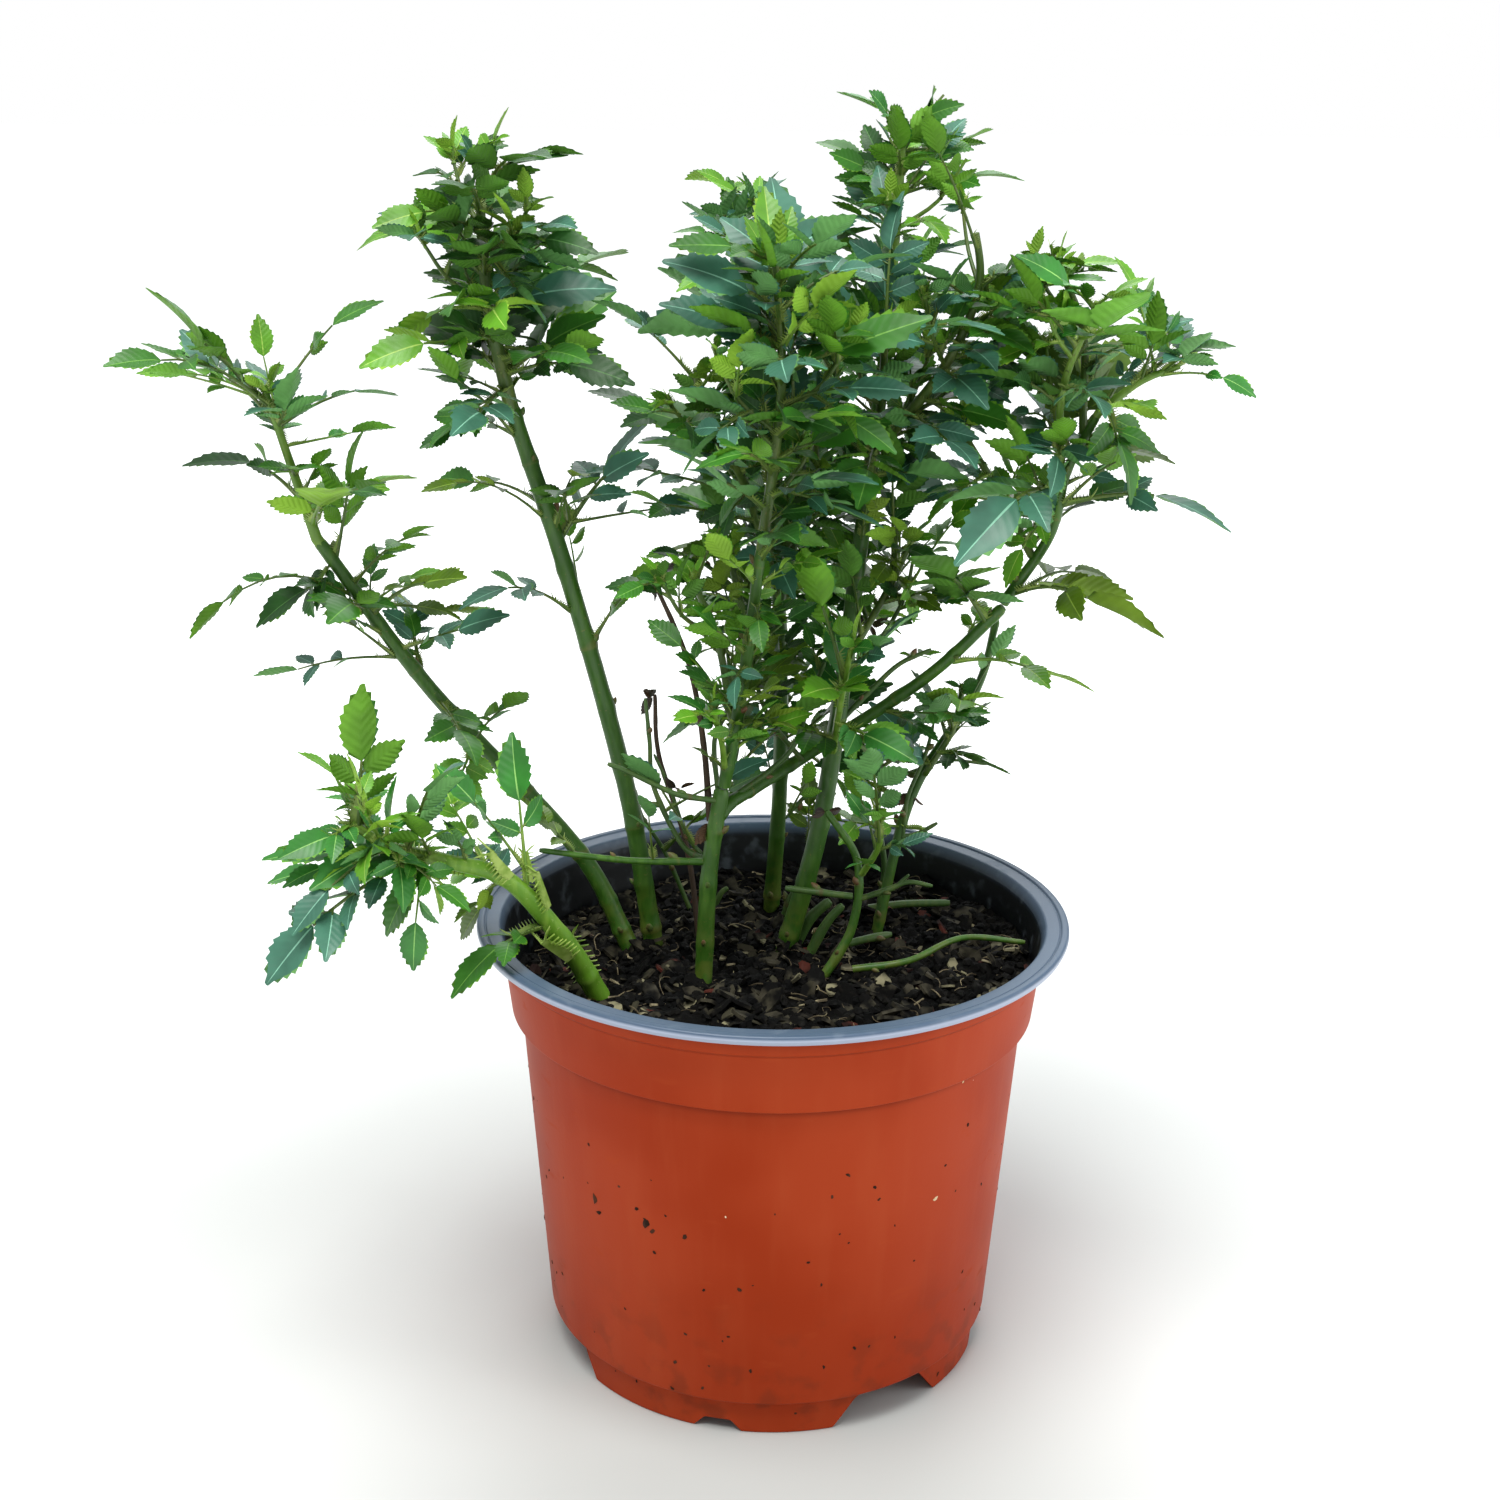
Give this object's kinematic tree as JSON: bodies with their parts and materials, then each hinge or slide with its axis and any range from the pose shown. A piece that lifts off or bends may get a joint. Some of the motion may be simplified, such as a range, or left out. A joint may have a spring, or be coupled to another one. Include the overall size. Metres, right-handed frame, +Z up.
{
  "type": "potted rose bush",
  "caption": "Young rose bush with leaning green canes and open sprays of small toothed leaflets, growing from soil in a round terracotta-coloured nursery pot.",
  "frame": {"origin": "on the surface the pot stands on, under the middle of the whole plant's box; the pot's own axis is 21 mm to the +X side of it", "axes": "+Z up, +X to the right and -Y towards the viewer, with the low young shoot and the longest leaning cane on the -X side"},
  "size_m": [0.2742, 0.15, 0.319],
  "materials": {
    "pot": "satin terracotta plastic outside, blue-black inside and on the rim, with a few scuffs and specks of soil",
    "soil": "moist, nearly black peat and bark with pale fibres and chips",
    "cane": "smooth green bark with brown nodes, small prickles and fine lengthwise streaks",
    "young_shoot": "juicy pale yellow-green skin with soft prickles",
    "dry_wood": "dry brown twig",
    "dark_leaves": "semi-gloss dark green leaves, paler underneath, toothed",
    "green_leaves": "semi-gloss mid-green leaves, paler underneath, toothed",
    "olive_leaves": "semi-gloss olive green leaves, paler underneath, toothed",
    "bluish_leaves": "glossy bluish green leaves that reflect the sky, toothed",
    "young_leaves": "soft yellow-green young leaves, toothed",
    "bright_leaves": "bright fresh green leaves, toothed"
  },
  "bodies": {
    "root": {"back_cane": "cane", "back_crown": "bluish_leaves", "back_low_shoot": "dark_leaves", "back_right_cane": "cane", "back_right_leaves": "dark_leaves", "bough_shoot": "green_leaves", "centre_left_crown": "green_leaves", "dead_twig": "dry_wood", "dry_twig": "dry_wood", "fallen_twig": "cane", "front_bough": "cane", "front_cane": "cane", "front_crown": "young_leaves", "front_low_leaves": "bright_leaves", "inner_shoot_1": "olive_leaves", "inner_shoot_2": "olive_leaves", "inner_shoot_3": "olive_leaves", "inner_shoot_4": "dark_leaves", "left_cane": "cane", "left_cane_leaf_1": "olive_leaves", "left_cane_leaf_2": "green_leaves", "left_cane_leaf_3": "dark_leaves", "left_cane_leaf_4": "dark_leaves", "left_cane_leaf_5": "olive_leaves", "left_cane_leaf_6": "dark_leaves", "left_cane_leaf_7": "bluish_leaves", "left_cane_leaf_8": "green_leaves", "left_crown": "young_leaves", "low_twig": "cane", "low_twig_leaf": "green_leaves", "pot": "pot", "potting_soil": "soil", "right_bough": "cane", "right_centre_crown": "bluish_leaves", "right_crown": "young_leaves", "right_leaf_1": "olive_leaves", "right_leaf_2": "bluish_leaves", "right_leaf_3": "olive_leaves", "right_leaf_4": "green_leaves", "right_leaf_5": "bluish_leaves", "right_leaf_6": "olive_leaves", "right_top_shoot": "bluish_leaves", "right_upright_shoot": "young_leaves", "sprout_cane": "cane", "sprout_leaves": "bright_leaves", "tall_left_cane": "cane", "tall_left_crown": "dark_leaves", "tall_left_leaf_1": "green_leaves", "tall_left_leaf_2": "green_leaves", "tall_left_leaf_3": "dark_leaves", "tall_left_leaf_4": "green_leaves", "tall_right_cane": "cane", "tall_right_crown": "young_leaves", "tall_right_front_shoot": "bluish_leaves", "tall_right_low_shoot": "bright_leaves", "upper_right_bough": "cane", "young_crown": "bright_leaves", "young_shoot": "young_shoot", "young_shoot_leaf_1": "bright_leaves", "young_shoot_leaf_2": "bright_leaves"}
  },
  "joints": []
}
